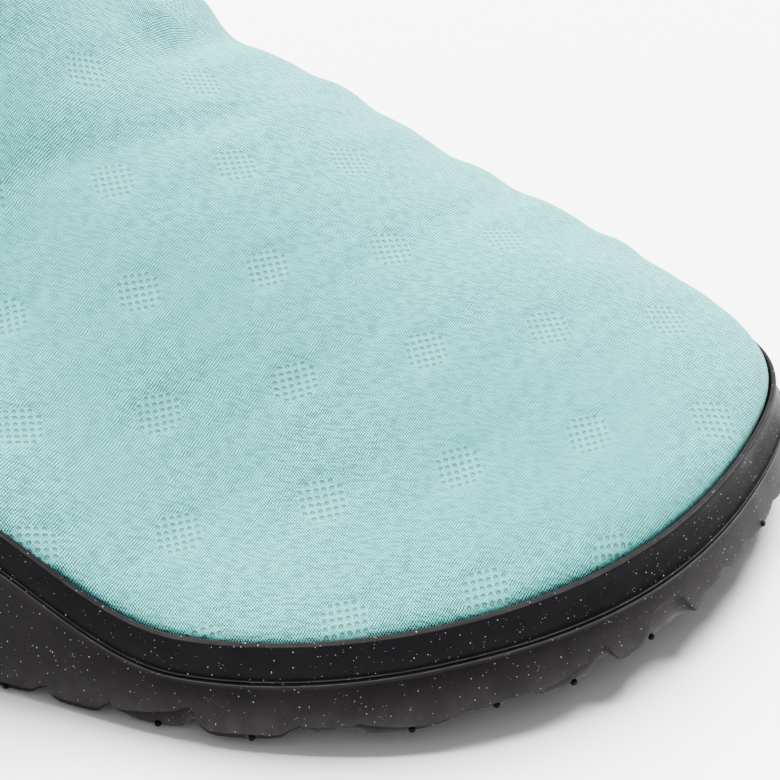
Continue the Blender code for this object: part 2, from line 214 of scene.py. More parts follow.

# Share and tone of the tints over the threads: dashes, spots, painted shade in the holes and painted light
# on the lit side of their floors
CLOTH_TINTS = (
    (0.52, (0.024, 0.05, 0.048)),
    (0.5, (0.074, 0.38, 0.36)),
    (0.78, (0.028, 0.05, 0.048)),
    (0.8, (0.07, 0.3, 0.29)),
)

# Knit of the lining and footbed: clouds in cells per metre, dark and light tone of each
KNIT_PITCH = 0.9
KNIT_CLOUD_CELLS = 300.0
STITCH_SHADE = 0.35
STITCH_HEIGHT = 0.1
LINING_TONES = ((0.12, 0.30, 0.29), (0.20, 0.40, 0.39))
FOOTBED_TONES = ((0.05, 0.10, 0.10), (0.09, 0.15, 0.15))

# Side band
BAND_HEIGHT = 5.6
BAND_FLARE = 1.0
TOE_BAND_FLARE = 2.1
TOE_FLARE_START = 275.0
TOE_FLARE_LENGTH = 20.0
BAND_GAP = 0.3
SEEN_GAP = 0.1
BAND_STATIONS = 420
# Last column: painted highlight on the lip and on the lower raised line, painted light growing towards the
# band's foot, and painted shade at its bottom edge below 0
Band = namedtuple("Band", "flare_share reach share wear")
BAND_PROFILE = (
    Band(0.0, -1.3, 1.0, 0.0),
    Band(0.0, -0.05, 0.12, 0.0),
    Band(0.0, 0.02, 0.03, 0.0),
    Band(0.0, 0.12, 0.0, 0.15),
    Band(0.0, 0.3, 0.0, 0.12),
    Band(0.0, 0.46, 0.005, 0.2),
    Band(0.0, 0.58, 0.015, 0.5),
    Band(0.0, 0.66, 0.03, 0.6),
    Band(0.0, 0.72, 0.05, 0.2),
    Band(0.02, 0.74, 0.09, 0.0),
    Band(0.06, 0.7, 0.18, 0.0),
    Band(0.15, 0.56, 0.3, 0.03),
    Band(0.3, 0.42, 0.45, 0.06),
    Band(0.48, 0.3, 0.6, 0.1),
    Band(0.68, 0.2, 0.74, 0.14),
    Band(0.84, 0.13, 0.85, 0.14),
    Band(0.94, 0.12, 0.9, 0.0),
    Band(0.99, 0.16, 0.92, 0.1),
    Band(1.0, 0.24, 0.933, 0.8),
    Band(1.0, 0.28, 0.943, 1.0),
    Band(1.0, 0.27, 0.953, 0.4),
    Band(1.0, 0.2, 0.968, 0.0),
    Band(1.0, 0.14, 0.985, 0.0),
    Band(1.0, 0.1, 1.0, -0.2),
)

# Outsole wall and tray
TRAY_INSET = 1.3
FOREFOOT_FLOOR = 7.0
HEEL_FLOOR = 18.0
RAMP_FRONT = 190.0
RAMP_BACK = 60.0
FLOOR_SPRING_SHARE = 0.9
BELLY_REACH = 2.6
EDGE_REACH = 2.8
TOE_EDGE_REACH = 1.2
TOE_EDGE_START = 255.0
TOE_EDGE_LENGTH = 25.0
SIDE_LEAN = 0.09
BELLY_LEAN = 0.6
WALL_SWELL = 3.6
# Last column: painted shade beside the gap under the band and a painted highlight along the top of the
# lower raised line
Bead = namedtuple("Bead", "reach drop wear")
BEAD_PROFILE = (
    Bead(0.08, 0.0, -0.2),
    Bead(0.16, 0.07, 0.0),
    Bead(0.24, 0.14, 0.1),
    Bead(0.3, 0.2, 0.8),
    Bead(0.32, 0.26, 0.9),
    Bead(0.29, 0.33, 0.3),
    Bead(0.22, 0.46, 0.0),
    Bead(0.2, 0.8, 0.0),
)
WALL_ROWS = 10
GUIDE_RISE = 5.4
GUIDE_ROWS = 5
# Painted light on the lower wall, strongest at the tread and fading out upwards
PAINTED_WALL_LIGHT = 0.65
WALL_LIGHT_RISE = 9.5
WALL_LIGHT_FALL = 1.5
EDGE_RISE = 1.7

# Tread edge: foot, crease and recess of each kind of lug, from its front end at 0 to its back end at 1
Lug = namedtuple("Lug", "x foot crease recess", defaults=(0.0,))
LEAF_LUG = (
    Lug(0.0, 2.2, 2.6, 0.02),
    Lug(0.05, 2.0, 3.7, 0.15),
    Lug(0.1, 1.4, 4.1, 0.35),
    Lug(0.16, 0.7, 3.9, 0.45),
    Lug(0.24, 0.1, 3.4, 0.5),
    Lug(0.4, 0.0, 3.0, 0.5),
    Lug(0.56, 0.0, 2.6, 0.5),
    Lug(0.72, 0.2, 2.3, 0.45),
    Lug(0.86, 0.9, 2.1, 0.35),
    Lug(0.95, 1.6, 1.95, 0.15),
    Lug(1.0, 1.9, 2.1, 0.05),
)
FOLD_LUG = (
    Lug(0.0, 1.5, 2.0),
    Lug(0.06, 1.1, 3.4),
    Lug(0.12, 0.6, 4.6),
    Lug(0.18, 0.3, 5.0),
    Lug(0.35, 0.0, 5.0),
    Lug(0.5, 0.1, 4.4, 0.2),
    Lug(0.6, 0.3, 2.8, 0.4),
    Lug(0.75, 0.6, 1.9, 0.45),
    Lug(0.92, 1.1, 1.6, 0.3),
    Lug(1.0, 2.1, 2.4, 0.05),
)
PLAIN_LUG = (
    Lug(0.0, 2.4, 2.8),
    Lug(0.1, 1.7, 2.2),
    Lug(0.2, 0.7, 1.5),
    Lug(0.35, 0.4, 1.3),
    Lug(0.55, 0.35, 1.3),
    Lug(0.8, 0.4, 1.3),
    Lug(0.9, 0.8, 1.5),
    Lug(0.96, 1.5, 2.0),
    Lug(1.0, 2.1, 2.5),
)
LENS_LUG = (
    Lug(0.0, 2.0, 2.3, 0.05),
    Lug(0.08, 1.5, 2.0, 0.2),
    Lug(0.2, 0.8, 1.8, 0.35),
    Lug(0.4, 0.35, 1.6, 0.45),
    Lug(0.65, 0.25, 1.9, 0.45),
    Lug(0.85, 0.4, 2.4, 0.4),
    Lug(0.94, 1.2, 2.7, 0.25),
    Lug(1.0, 2.4, 2.7, 0.05),
)
SET_BACK_LUG = (
    Lug(0.0, 2.2, 2.4, 0.05),
    Lug(0.14, 2.1, 2.4, 0.4),
    Lug(0.3, 0.5, 2.4, 1.3),
    Lug(0.5, 0.1, 2.4, 1.5),
    Lug(0.7, 0.2, 2.4, 1.3),
    Lug(0.86, 1.6, 2.4, 0.4),
    Lug(1.0, 2.2, 2.4, 0.05),
)
TOE_LUG = (
    Lug(0.0, 1.3, 1.8),
    Lug(0.12, 0.9, 1.5),
    Lug(0.25, 0.5, 1.3),
    Lug(0.5, 0.35, 1.2),
    Lug(0.75, 0.5, 1.3),
    Lug(0.88, 0.9, 1.5),
    Lug(1.0, 1.3, 1.8),
)

# Lugs along a side from the toe: kind, length in lug steps and whether a mould vent stands on it
LugRun = namedtuple("LugRun", "lug length vent")
TOE_RUN = (
    LugRun(TOE_LUG, 0.9, True),
    LugRun(TOE_LUG, 0.55, False),
    LugRun(TOE_LUG, 0.68, False),
    LugRun(FOLD_LUG, 1.22, True),
)
SIDE_RUN = (
    LugRun(LEAF_LUG, 1.05, True),
    LugRun(SET_BACK_LUG, 0.78, True),
    LugRun(LENS_LUG, 1.24, True),
    LugRun(SET_BACK_LUG, 0.56, False),
    LugRun(PLAIN_LUG, 1.15, True),
    LugRun(LEAF_LUG, 1.05, True),
    LugRun(PLAIN_LUG, 0.82, False),
    LugRun(PLAIN_LUG, 1.22, True),
)
LUG_ROW = TOE_RUN + SIDE_RUN * 4
SIDE_STEPS = 34.0
TOE_STEPS = 2.13
TOE_FOOT_LIFT = 2.0
TOE_CREASE_LIFT = 1.5
TOE_LIFT_STEPS = 0.3
LUG_STATIONS = 22
LUG_SWELL = 0.5
LUG_TILT = 0.5
LUG_WIDTH = 11.0
LUG_DEPTH = 2.6
LUG_FOOT_BATTER = 0.5
# Recess depth that takes full painted shade and facet height that takes full painted light; the foot rows'
# last column is painted shade under the crease below 0 and painted light towards the foot above 0
SHADED_RECESS = 0.5
FOOT_LIGHT_HEIGHT = 1.4
Foot = namedtuple("Foot", "inset share wear")
FOOT_PROFILE = (
    Foot(0.0, 0.95, -1.0),
    Foot(0.0, 0.88, -0.7),
    Foot(0.02, 0.72, 0.1),
    Foot(0.05, 0.5, 0.3),
    Foot(0.1, 0.3, 0.5),
    Foot(0.2, 0.14, 0.9),
    Foot(0.38, 0.04, 1.0),
    Foot(0.7, 0.0, 0.5),
)

# Leaf-shaped lugs of the tread's middle
LEAF_LENGTH = 15.0
LEAF_WIDTH = 8.0
LEAF_TURN = 35.0
LEAF_STEP_X = 15.0
LEAF_STEP_Y = 17.0
LEAF_FIRST_X = 26.0
LEAF_LAST_X = 276.0
LEAF_MARGIN = 21.0
LEAF_POINTS = 24
LEAF_POINTEDNESS = 1.5
LEAF_SINK = 2.0
LEAF_ROUND = 0.4

# Pale specks in the rubber: cells per metre, share of cells left out, size in a cell and range of tints
Speck = namedtuple("Speck", "cells left_out size dull bright")
SPECKS = (
    Speck(3800.0, 0.82, 0.26, 0.06, 0.42),
    Speck(1000.0, 0.945, 0.1, 0.16, 0.55),
)
PALE_RANGE = (0.2, 1.0)
RARE_SPECKS = 0.015
YELLOW_SPECK = (0.5, 0.45, 0.05)
BLUE_SPECK = (0.1, 0.25, 0.5)

# Mottle, patches that break up the painted light, and grain of the rubber, with cells per metre, and the
# tones of each piece, the last of them the tone of its painted light
MOTTLE_CELLS = 160.0
MOTTLE_RANGE = (0.3, 0.7)
LIGHT_PATCH_CELLS = 420.0
LIGHT_PATCH_RANGE = (0.35, 0.65, 0.65, 1.0)
GRAIN_CELLS = 1400.0
GRAIN_HEIGHT = 0.03
ROUGHNESS_SPREAD = 0.12
# Painted shade where the stored value is below 0
CREASE_SHADE = 0.8
PAINTED_SHADE_TONE = (0.0004, 0.0004, 0.0004)
Rubber = namedtuple("Rubber", "name roughness gloss dark light rubbed")
BAND_RUBBER = Rubber(
    "band_black", 0.42, 0.012,
    (0.0036, 0.0035, 0.004), (0.0054, 0.0052, 0.0058), (0.045, 0.044, 0.044),
)
OUTSOLE_RUBBER = Rubber(
    "outsole_black", 0.5, 0.05,
    (0.0074, 0.0066, 0.0071), (0.0112, 0.0099, 0.0107), (0.06, 0.055, 0.054),
)
# The vents' rubber is a darker copy of the outsole's: painted shade on the small nubs
SHADED_VENT_RUBBER = Rubber(
    "vent_shaded_black", 0.45, 0.05,
    (0.0022, 0.0022, 0.0024), (0.003, 0.003, 0.0032), (0.006, 0.006, 0.006),
)

# Mould vents on the lugs, with the size and height of their rings as shares
PIP_RADIUS = 0.43
PIP_HEIGHT = 0.5
PIP_SINK = 0.15
PIP_PLACE = 0.47
PIP_RISE = 0.5
PIP_SIDES = 12
PIP_RINGS = ((1.0, -0.6), (1.0, 0.45), (0.75, 0.8), (0.35, 0.97))

# Insole
INSOLE_INSET = 4.7
INSOLE_LIFT = 0.3
INSOLE_EDGE = 3.6
INSOLE_HEEL_EDGE = 8.0
INSOLE_BED = 4.0
INSOLE_STATIONS = 120
INSOLE_COLUMNS = 28
INSOLE_RIM_WIDTH = 2.0
INSOLE_CUP_WIDTH = 15.0
INSOLE_RUN = 330.0
INSOLE_ROUND = 0.5

# Camera, as fitted to the photograph, in the frame of the tables
CAMERA_PLACE = (366.2, -233.9, 201.0)
CAMERA_AZIMUTH = 26.5
CAMERA_ELEVATION = 35.0
CAMERA_FOCAL_PIXELS = 2400.0
FRAME_PIXELS = 780.0
SENSOR = 36.0

# Floor and light, in metres and watts
FLOOR_REACH = 12.0
FLOOR_TONE = (0.9, 0.9, 0.9)
SKY_STRENGTH = 0.55
KEY_PLACE = (-0.42, 1.08, 1.65)
KEY_AIM = (0.05, 0.0, 0.03)
KEY_SIZE = 2.0
KEY_POWER = 530.0


def smooth(value):
    """Ease from 0 to 1."""
    value = np.clip(value, 0.0, 1.0)
    return value * value * (3.0 - 2.0 * value)


def column(table, name):
    """Named column of a table."""
    return np.array([getattr(row, name) for row in table], dtype=float)


def cubic(t, first, last, leave, arrive):
    """Cubic between two values, with its slopes there times the step."""
    start = first * (1.0 + 2.0 * t) + leave * t
    end = last * (3.0 - 2.0 * t) - arrive * (1.0 - t)
    return start * (1.0 - t) ** 2 + end * t ** 2


def along(table, name, x):
    """Column of a table at x, by a cubic that doesn't overshoot its rows."""
    rows = sorted(table)
    place = column(rows, "x")
    value = column(rows, name)
    step = np.diff(place)
    rise = np.diff(value) / step
    before = rise[:-1]
    after = rise[1:]
    slope = np.concatenate(([rise[0]], np.zeros(len(rise) - 1), [rise[-1]]))
    same = before * after > 0.0
    slope[1:-1][same] = 2.0 * before[same] * after[same] / (before[same] + after[same])
    left = np.clip(np.searchsorted(place, x) - 1, 0, len(step) - 1)
    t = np.clip((x - place[left]) / step[left], 0.0, 1.0)
    leave, arrive = [slope[end] * step[left] for end in (left, left + 1)]
    return cubic(t, value[left], value[left + 1], leave, arrive)


def path_lengths(points):
    """Way along a row of points from its start to each."""
    return np.concatenate(([0.0], np.cumsum(np.linalg.norm(np.diff(points, axis=0), axis=1))))


def toe_spring(x):
    """Lift of the toe over the ground."""
    run = RIM_LENGTH - TOE_SPRING_START
    return TOE_SPRING * np.maximum((x - TOE_SPRING_START) / run, 0.0) ** 2


def ground(x):
    """Height of the tread over the ground."""
    arch = np.clip((x - ARCH_BACK) / (ARCH_FRONT - ARCH_BACK), 0.0, 1.0)
    heel = np.clip((HEEL_SPRING_START - x) / HEEL_SPRING_START, 0.0, 1.0)
    return toe_spring(x) + ARCH_RISE * np.sin(math.pi * arch) ** 2 + HEEL_SPRING * heel ** 2


def rim_height(x):
    """Height of the rim."""
    sweep = smooth((SWEEP_FRONT - x) / (SWEEP_FRONT - SWEEP_BACK))
    climb = smooth((SWEEP_BACK - x) / SWEEP_BACK)
    return TOE_RIM + (WAIST_RIM - TOE_RIM) * sweep + (HEEL_RIM - WAIST_RIM) * climb + toe_spring(x)


def bead_height(x):
    """Height of the joint between the side band and the outsole."""
    return rim_height(x) - BAND_HEIGHT


def floor_height(x):
    """Height of the outsole's tray."""
    ramp = smooth((RAMP_FRONT - x) / (RAMP_FRONT - RAMP_BACK))
    return FOREFOOT_FLOOR + (HEEL_FLOOR - FOREFOOT_FLOOR) * ramp + FLOOR_SPRING_SHARE * toe_spring(x)


def band_flare(x):
    """How far the band's foot stands out from the rim."""
    toe = smooth((x - TOE_FLARE_START) / TOE_FLARE_LENGTH)
    return BAND_FLARE + (TOE_BAND_FLARE - BAND_FLARE) * toe


def wall_lean(x):
    """Extra reach of the tread where the wall is tall and round the toe."""
    toe = TOE_EDGE_REACH * smooth((x - TOE_EDGE_START) / TOE_EDGE_LENGTH)
    return SIDE_LEAN * (rim_height(x) - toe_spring(x) - TOE_RIM) + toe


def rim_curve():
    """Closed curve of the rim in plan, from the toe along the outer side, and its outward normals."""
    outer = [(row.x, row.outer) for row in RIM_SECTIONS]
    inner = [(row.x, row.inner) for row in reversed(RIM_SECTIONS)]
    points = np.array([TOE_END] + outer + [HEEL_END] + inner)
    ends = np.roll(points, -1, axis=0)
    ahead = ends - points
    length = np.hypot(*ahead.T)[:, None]
    far = np.diag(1.0 / length[:, 0])
    near = np.roll(far, 1, axis=(0, 1))
    matrix = 2.0 * (near + far) + np.roll(near, -1, axis=1) + np.roll(far, 1, axis=1)
    pull = ahead / length ** 2
    slope = np.linalg.solve(matrix, 3.0 * (np.roll(pull, 1, axis=0) + pull))
    t = np.arange(CURVE_STEPS)[:, None] / CURVE_STEPS
    steps = zip(points, ends, slope * length, np.roll(slope, -1, axis=0) * length)
    curve = np.vstack([cubic(t, *step) for step in steps])
    tangent = np.roll(curve, -1, axis=0) - np.roll(curve, 1, axis=0)
    normal = np.column_stack((-tangent[:, 1], tangent[:, 0]))
    return curve, normal / np.linalg.norm(normal, axis=1)[:, None]


CURVE, OUTWARD = rim_curve()
HEEL_INDEX = CURVE_STEPS * (len(RIM_SECTIONS) + 1)


def half_rim(shares, inner):
    """Points and normals of one side at shares of the way from toe to heel."""
    turn = np.arange(HEEL_INDEX + 1) * (-1 if inner else 1)
    points = CURVE[turn]
    gone = path_lengths(points)
    at = np.asarray(shares) * gone[-1]
    return np.column_stack([np.interp(at, gone, part) for part in (*points.T, *OUTWARD[turn].T)])


def rim_ring(shares):
    """Places and outward normals round the rim at the same shares of both sides."""
    return np.vstack((half_rim(shares, False), half_rim(shares[-2:0:-1], True)))


def ring_row(ring, reach, height):
    """Row of points that stand out from the rim by reach, at a height."""
    plan = ring[:, :2] + ring[:, 2:] * np.broadcast_to(reach, len(ring))[:, None]
    return np.column_stack((plan, np.broadcast_to(height, len(ring))))


def ladder(first, count):
    """Faces across a ring, from each station to the one opposite."""
    faces = []
    for i in range(count // 2):
        left = (first + i, first + i + 1)
        right = (first + (count - i - 1) % count, first + (count - i) % count)
        faces.append(tuple(dict.fromkeys(left + right)))
    return faces


def belts(rows, count, closed):
    """Faces between each row of a ring body and the next."""
    faces = []
    for row in range(rows if closed else rows - 1):
        low = row * count
        high = (row + 1) % rows * count
        for i in range(count):
            after = (i + 1) % count
            faces.append((low + i, low + after, high + after, high + i))
    return faces


def capped(first, rows, count):
    """Faces of rings numbered from first, closed at both ends."""
    faces = [tuple(first + corner for corner in face) for face in belts(rows, count, False)]
    last = first + (rows - 1) * count
    return faces + [tuple(range(last, last + count)), tuple(range(first + count - 1, first - 1, -1))]


# The frame
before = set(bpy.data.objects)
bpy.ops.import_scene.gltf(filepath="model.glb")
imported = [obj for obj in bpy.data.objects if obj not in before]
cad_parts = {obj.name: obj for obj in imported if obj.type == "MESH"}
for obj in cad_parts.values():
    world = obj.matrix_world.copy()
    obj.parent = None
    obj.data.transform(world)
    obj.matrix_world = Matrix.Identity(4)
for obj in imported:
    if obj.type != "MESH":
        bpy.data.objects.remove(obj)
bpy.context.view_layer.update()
heel_reach = EDGE_REACH + wall_lean(0.0)
outer_edge = CURVE + OUTWARD * (EDGE_REACH + wall_lean(CURVE[:, 0]))[:, None]
box_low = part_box("outsole")[0]
SHIFT = np.array((box_low.x / MM + heel_reach, box_low.y / MM - outer_edge[:, 1].min(), 0.0))


def show(name, data):
    """New object in the scene."""
    made = bpy.data.objects.new(name, data)
    bpy.context.scene.collection.objects.link(made)
    return made


def add_mesh(name, points, faces, looks, sharp=SHARP_ANGLE):
    """Mesh object in the frame of the solids, riding on the shoe."""
    mesh = bpy.data.meshes.new(name)
    mesh.from_pydata(((np.asarray(points) + SHIFT) * MM).tolist(), [], faces)
    for look in looks:
        mesh.materials.append(look)
    mesh.shade_smooth()
    mesh.set_sharp_from_angle(angle=math.radians(sharp))
    made = show(name, mesh)
    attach(made, "root")
    return made


def paint_light_and_shade(made, values):
    """Store how much light, or below 0 how much shade, is painted on the rubber at each point."""
    layer = made.data.attributes.new("wear", "FLOAT", "POINT")
    layer.data.foreach_set("value", np.asarray(values, dtype=np.float32))


class Shader:
    """Short way to build a material's nodes. A value is a number, a colour or a node's output."""

    def __init__(self, name):
        self.material = bpy.data.materials.new(name)
        self.material.use_nodes = True
        self.tree = self.material.node_tree
        self.surface = self.tree.nodes["Principled BSDF"]

    def put(self, socket, value):
        """Link a socket to an output, or set it to a number or colour."""
        if isinstance(value, bpy.types.NodeSocket):
            self.tree.links.new(value, socket)
        else:
            socket.default_value = (*value, 1.0) if isinstance(value, tuple) else value

    def add(self, kind, *values, **settings):
        """New node of a kind, with values for its first sockets."""
        node = self.tree.nodes.new("ShaderNode" + kind)
        for name, value in settings.items():
            setattr(node, name, value)
        for socket, value in zip(node.inputs, values):
            self.put(socket, value)
        return node

    def fill(self, node, **values):
        """Set named sockets of a node and give its first output."""
        for name, value in values.items():
            self.put(node.inputs[name.replace("_", " ")], value)
        return node.outputs[0]

    def math(self, operation, *values):
        return self.add("Math", *values, operation=operation).outputs[0]

    plus = partialmethod(math, "ADD")
    minus = partialmethod(math, "SUBTRACT")
    times = partialmethod(math, "MULTIPLY")

    def wave(self, place, pitch):
        """Sine that repeats every pitch."""
        return self.math("SINE", self.times(place, 2.0 * math.pi / pitch))

    def length(self, *parts):
        """Length of a way with two parts at right angles."""
        return self.math("SQRT", self.plus(*[self.math("POWER", part, 2.0) for part in parts]))

    def ramp(self, value, low, high, start=0.0, end=1.0):
        """Ease from start to end as a value goes from low to high."""
        limits = (low, high, start, end)
        return self.add("MapRange", value, *limits, interpolation_type="SMOOTHSTEP").outputs[0]

    def mix(self, share, first, second):
        node = self.add("Mix", share, data_type="RGBA")
        self.put(node.inputs[6], first)
        self.put(node.inputs[7], second)
        return node.outputs[2]

    def split(self, vector):
        return self.add("SeparateXYZ", vector).outputs

    def flat(self, first, second):
        return self.add("CombineXYZ", first, second).outputs[0]

    def noise(self, place, scale, detail=2.0):
        return self.fill(self.add("TexNoise"), Vector=place, Scale=scale, Detail=detail)

    def bump(self, height, distance, strength):
        """Raise the surface by a height times a distance in millimetres."""
        node = self.add("Bump")
        normal = self.fill(node, Height=height, Distance=distance * MM, Strength=strength)
        self.fill(self.surface, Normal=normal)


def thread_nodes(make):
    """How light the threads are, and where the dark dashes of the crepe grain lie."""
    woven = make.split(make.add("UVMap", uv_map="weave").outputs[0])
    lengthwise = make.times(woven[0], WEAVE_SPAN)
    crosswise = make.times(woven[1], WEAVE_SPAN)
    wobble = make.times(make.noise(make.flat(lengthwise, crosswise), WOBBLE_CELLS), WOBBLE)
    diagonal = make.plus(make.minus(lengthwise, make.times(crosswise, TWILL_SLANT)), wobble)
    counter = make.plus(crosswise, make.times(lengthwise, CROSS_SLANT))
    waves = [make.wave(way, TWILL_PITCH) for way in (diagonal, counter)]
    weave = make.ramp(make.plus(*waves), -THREAD_EDGE, THREAD_EDGE)
    dash_along = make.times(make.plus(make.times(lengthwise, DASH_SLOPE), crosswise), DASH_ALONG)
    dash_across = make.times(make.minus(lengthwise, make.times(crosswise, DASH_SLOPE)), DASH_ACROSS)
    grain = make.noise(make.flat(dash_along, dash_across), 1.0, DASH_DETAIL)
    return weave, make.ramp(grain, *DASH_RANGE)


def spot_nodes(make):
    """Where the spots and their holes lie, and the shifted patch of painted light on the floor of each
    hole.
    """
    parts = make.split(make.add("UVMap", uv_map="lattice").outputs[0])
    spot_a, spot_b = [make.times(make.math("WRAP", part, 0.5, -0.5), SPOT_PITCH) for part in parts[:2]]
    size_a, size_b = [make.math("ABSOLUTE", spot) for spot in (spot_a, spot_b)]
    square = make.math("LESS_THAN", make.math("MAXIMUM", size_a, size_b), SPOT_HALF * HOLE_PITCH)
    clipped = make.math("LESS_THAN", make.plus(size_a, size_b), SPOT_CORNER * HOLE_PITCH)
    inside = make.times(square, clipped)
    half = HOLE_PITCH / 2.0
    hole_a, hole_b = [make.math("WRAP", make.minus(spot, half), half, -half) for spot in (spot_a, spot_b)]
    away = make.length(hole_a, hole_b)
    beside = make.length(hole_a, make.minus(hole_b, HOLE_LIGHT_SHIFT))
    # Painted shade over each hole and painted light on the lit side of its floor, shifted to one side
    hole = make.times(make.ramp(away, *HOLE_RANGE, 1.0, 0.0), inside)
    floor = make.times(make.ramp(beside, *HOLE_LIGHT_RANGE, 1.0, 0.0), inside)
    return inside, hole, floor


def fabric_look():
    """Pale mint twill with spots of fine perforations, painted shade in each hole and painted light on the
    lit side of its floor.
    """
    make = Shader("mint_twill")
    weave, dash = thread_nodes(make)
    inside, hole, floor = spot_nodes(make)
    cloth = make.mix(weave, THREAD_SHADE, THREAD_TONE)
    # The last two tints are painted shade in the holes and painted light on the lit side of their floors
    for where, (share, tone) in zip((dash, inside, hole, floor), CLOTH_TINTS):
        cloth = make.mix(make.times(where, share), cloth, tone)
    height = make.minus(make.minus(weave, make.times(dash, DASH_SINK)), make.times(hole, HOLE_SINK))
    make.fill(make.surface, Base_Color=cloth, Roughness=0.88, Specular_IOR_Level=0.15)
    make.fill(make.surface, Sheen_Weight=0.06, Sheen_Roughness=0.5)
    make.bump(height, THREAD_HEIGHT, 0.8)
    return make.material


def rubber_look(rubber):
    """Speckled black rubber, with painted light where the stored value is above 0 and painted shade where
    it is below.
    """
    make = Shader(rubber.name)
    place = make.add("TexCoord").outputs["Object"]
    mottle = make.noise(place, MOTTLE_CELLS, 4.0)
    base = make.mix(make.ramp(mottle, *MOTTLE_RANGE), rubber.dark, rubber.light)
    # Painted light where the stored value is above 0, broken up by patches, and painted shade where it is
    # below 0
    wear = make.add("Attribute", attribute_name="wear").outputs["Fac"]
    light_patches = make.ramp(make.noise(place, LIGHT_PATCH_CELLS, 3.0), *LIGHT_PATCH_RANGE)
    base = make.mix(make.times(make.ramp(wear, 0.0, 1.0), light_patches), base, rubber.rubbed)
    base = make.mix(make.ramp(wear, 0.0, -1.0, 0.0, CREASE_SHADE), base, PAINTED_SHADE_TONE)
    for speck in SPECKS:
        cells = make.add("TexVoronoi")
        distance = make.fill(cells, Vector=place, Scale=speck.cells)
        first, second, third = make.add("SeparateColor", cells.outputs["Color"]).outputs
        size = make.ramp(first, speck.left_out, 1.0, 0.0, speck.size)
        shown = make.math("LESS_THAN", distance, size)
        tint = make.mix(make.ramp(second, *PALE_RANGE), (speck.dull,) * 3, (speck.bright,) * 3)
        tint = make.mix(make.math("GREATER_THAN", third, 1.0 - RARE_SPECKS), tint, YELLOW_SPECK)
        tint = make.mix(make.math("LESS_THAN", third, RARE_SPECKS), tint, BLUE_SPECK)
        base = make.mix(shown, base, tint)
    roughness = make.ramp(mottle, *MOTTLE_RANGE, rubber.roughness, rubber.roughness + ROUGHNESS_SPREAD)
    make.fill(make.surface, Base_Color=base, Roughness=roughness, Specular_IOR_Level=rubber.gloss)
    make.bump(make.noise(place, GRAIN_CELLS), GRAIN_HEIGHT, 0.4)
    return make.material


def knit_look(name, low, high):
    """Soft knitted lining or footbed cloth."""
    make = Shader(name)
    place = make.add("TexCoord").outputs["Object"]
    parts = make.split(place)
    run = make.wave(parts[0], KNIT_PITCH * MM)
    turn = make.wave(make.plus(parts[1], parts[2]), KNIT_PITCH * MM)
    stitch = make.plus(make.times(make.times(run, turn), 0.4), 0.5)
    tone = make.mix(make.noise(place, KNIT_CLOUD_CELLS, 3.0), low, high)
    cloth = make.mix(make.times(stitch, STITCH_SHADE), tone, low)
    make.fill(make.surface, Base_Color=cloth, Roughness=0.92, Sheen_Weight=0.15)
    make.bump(stitch, STITCH_HEIGHT, 0.6)
    return make.material


def rim_point(centre, bearing, inset):
    """Plan point where a line from a centre meets the rim moved in by an inset."""
    away = CURVE - OUTWARD * inset - centre
    angle = np.arctan2(away[:, 1], away[:, 0])
    order = np.argsort(angle)
    reach = np.interp(bearing, angle[order], np.hypot(*away[order].T), period=2.0 * math.pi)
    return centre + reach * np.array((math.cos(bearing), math.sin(bearing)))


def side_of(bearing):
    """Side that a bearing points to: 1 for the inner, -1 for the outer."""
    return 1 if math.sin(bearing) > 0.0 else -1


def side_shape(x, bearing):
    """Fullness and bell share of a section, blended round the toe."""
    side = "inner" if side_of(bearing) > 0 else "outer"
    blend = max(math.cos(bearing), 0.0) ** TOE_BLEND
    parts = (("_full", TOE_FULL), ("_bell", TOE_BELL))
    return [along(LAST_SECTIONS, side + part, x) * (1.0 - blend) + toe * blend for part, toe in parts]


def collar_height(x, bearing):
    """Height of the collar line beside x."""
    lift = COLLAR_INNER_LIFT * max(math.sin(bearing), 0.0)
    return along(COLLAR, "height", x) + lift * math.sin(math.pi * np.clip(x / COLLAR_FRONT, 0.0, 1.0))


Line = namedtuple("Line", "x bearing points up total end")


def upper_line(x, bearing):
    """Line up the upper, with the ways from the rim to its points, the ridge and its end."""
    centre = np.array((x, along(LAST_SECTIONS, "ridge_y", x)))
    ridge = along(LAST_SECTIONS, "ridge_z", x)
    foot, tuck, rim = [rim_point(centre, bearing, inset) for inset in (UPPER_INSET, TUCK_INSET, 0.0)]
    beside = rim[0]
    toe_sink = TOE_SINK * smooth((beside - TOE_SINK_START) / TOE_SINK_RUN)
    base = rim_height(beside) - EDGE_SINK - toe_sink
    full, bell = side_shape(x, bearing)
    turn = np.linspace(0.0, math.pi / 2.0, SECTION_STEPS)
    inward = np.cos(turn).clip(0.0, 1.0) ** (2.0 / full)
    rise = (1.0 - bell) * np.sin(turn) ** (2.0 / full) + bell * 0.5 * (1.0 + np.cos(math.pi * inward))
    plan = centre + inward[:, None] * (foot - centre)
    curve = np.column_stack((plan, base + (ridge - base) * rise))
    gone = path_lengths(curve)
    end = gone[-1]
    if x < COLLAR_FRONT:
        end = np.interp(collar_height(beside, bearing), curve[:, 2], gone)
    at = np.linspace(0.0, end, UPPER_ROWS)
    rows = np.column_stack([np.interp(at, gone, part) for part in curve.T])
    edge = [(*tuck, floor_height(beside) + BAND_GAP), (*tuck, bead_height(beside) + BAND_GAP)]
    below = [point[2] - base for point in edge]
    return Line(x, bearing, np.vstack((edge, rows)), np.concatenate((below, at)), gone[-1], end)


def ridge_steps(x):
    """Lattice steps along the top from its first spot."""
    place = np.linspace(COLLAR_FRONT, SPOT_X, RIDGE_STEPS)
    gone = path_lengths(np.column_stack((place, along(LAST_SECTIONS, "ridge_z", place))))
    behind = gone[-1] - np.interp(x, place, gone) + max(COLLAR_FRONT - x, 0.0)
    return (max(x - SPOT_X, 0.0) - behind) / ALONG_STEP


